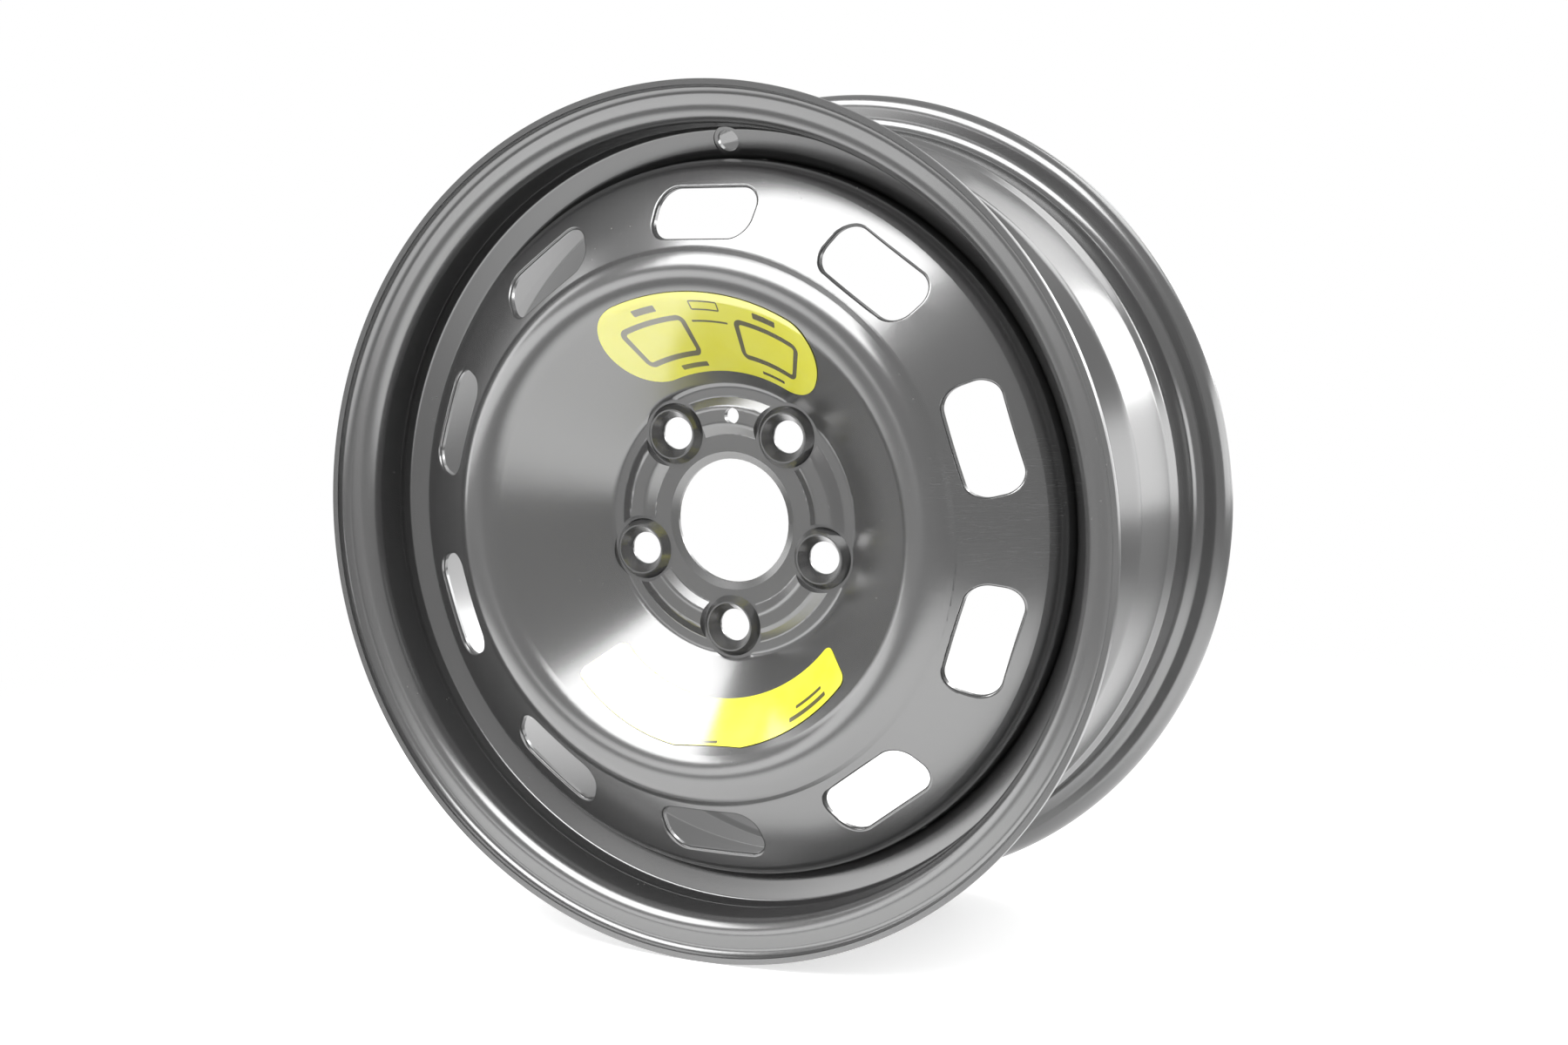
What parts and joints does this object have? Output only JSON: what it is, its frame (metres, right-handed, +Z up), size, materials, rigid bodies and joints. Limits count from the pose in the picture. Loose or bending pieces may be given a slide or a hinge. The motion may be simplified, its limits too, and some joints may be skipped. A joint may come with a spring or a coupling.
{
  "type": "car wheel",
  "caption": "Pressed-steel car wheel without a tyre: rolled rim with drop well, welded to a stamped disc with bolt seats, vent windows and a centre bore.",
  "frame": {"origin": "on the spin axis, at the face that bolts to the hub", "axes": "+Y along the spin axis towards the hub, -Y out of the open face, +Z up through the valve hole"},
  "size_m": [0.441, 0.189, 0.441],
  "materials": {
    "black_coat": "semi-gloss black dip coat over pressed steel",
    "label_film": "smooth yellow sticker film"
  },
  "bodies": {
    "root": {"rim": "black_coat", "disc": "black_coat", "weld_beads": "black_coat", "upper_label": "label_film", "lower_label": "label_film"}
  },
  "joints": []
}
